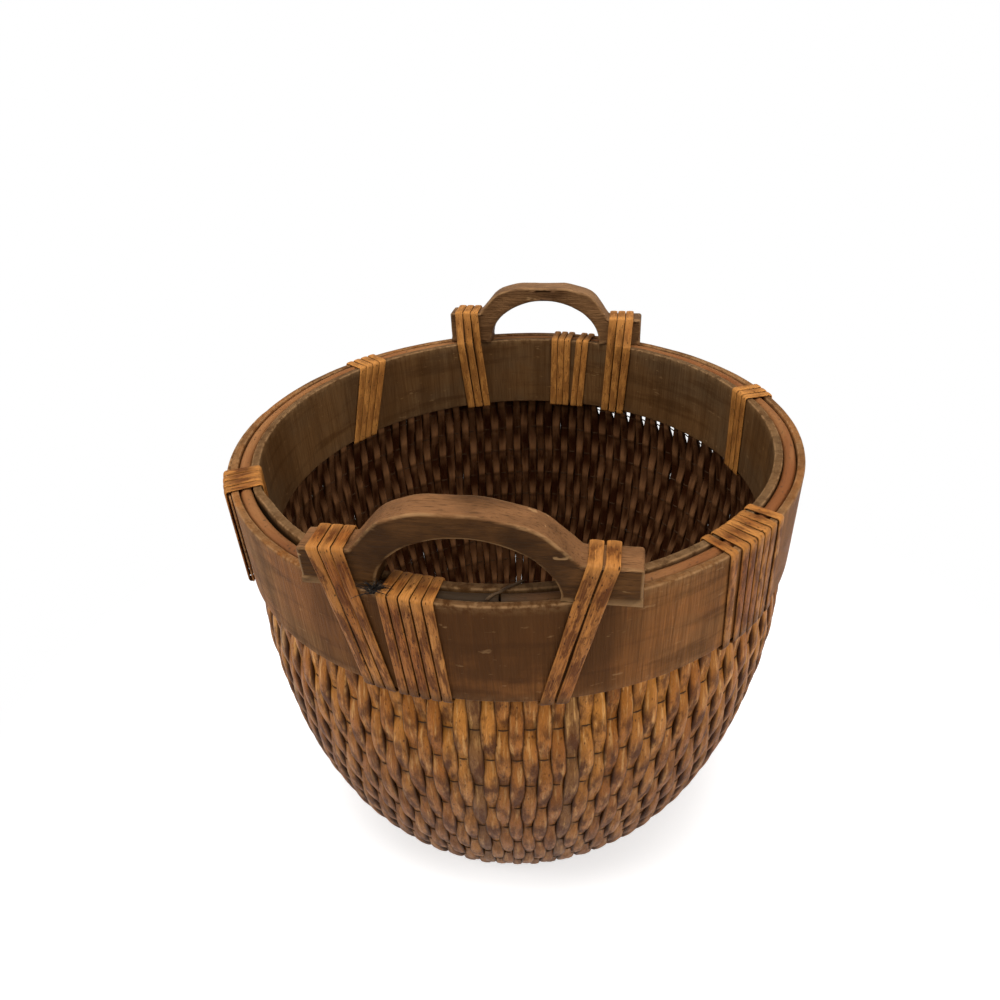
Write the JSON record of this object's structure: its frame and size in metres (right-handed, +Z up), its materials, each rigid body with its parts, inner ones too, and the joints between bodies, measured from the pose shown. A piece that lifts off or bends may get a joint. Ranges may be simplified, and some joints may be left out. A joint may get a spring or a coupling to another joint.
{
  "type": "rice basket",
  "caption": "Deep round woven willow basket with bentwood rim hoops, split-cane lashings and bridge-shaped wooden handles on opposite sides of the rim",
  "frame": {"origin": "on the floor under the centre of the bowl, in the plane of its flat foot", "axes": "+Z up through the mouth; the handles stand on the -Y (front) and +Y (back) sides and run along X; +X is to the viewer's right when looking from the front"},
  "size_m": [0.4327, 0.4331, 0.4195],
  "materials": {
    "willow_weave": "aged willow rods, tan to brown, worn smooth",
    "outer_hoop_wood": "dark brown bentwood with fine upright grain and pale scuffs",
    "inner_hoop_wood": "olive-brown bentwood with worn top edge",
    "rim_rod_cane": "peeled reddish-tan rod, slightly shiny",
    "handle_wood": "carved hardwood, dark brown with edges worn lighter",
    "lashing_cane": "split cane, orange-tan with dark flecks"
  },
  "bodies": {
    "root": {"woven_bowl": "willow_weave", "outer_hoop": "outer_hoop_wood", "inner_hoop": "inner_hoop_wood", "rim_rod": "rim_rod_cane", "rim_rod_tie": "lashing_cane", "handle_front": "handle_wood", "handle_back": "handle_wood", "lashing_left": "lashing_cane", "lashing_back_left": "lashing_cane", "lashing_back_centre_left": "lashing_cane", "lashing_back_centre_right": "lashing_cane", "lashing_right_back": "lashing_cane", "lashing_right_front": "lashing_cane", "lashing_front_centre": "lashing_cane", "lashing_front_handle_left": "lashing_cane", "lashing_front_handle_right": "lashing_cane", "lashing_back_handle_left": "lashing_cane", "lashing_back_handle_right": "lashing_cane"}
  },
  "joints": []
}
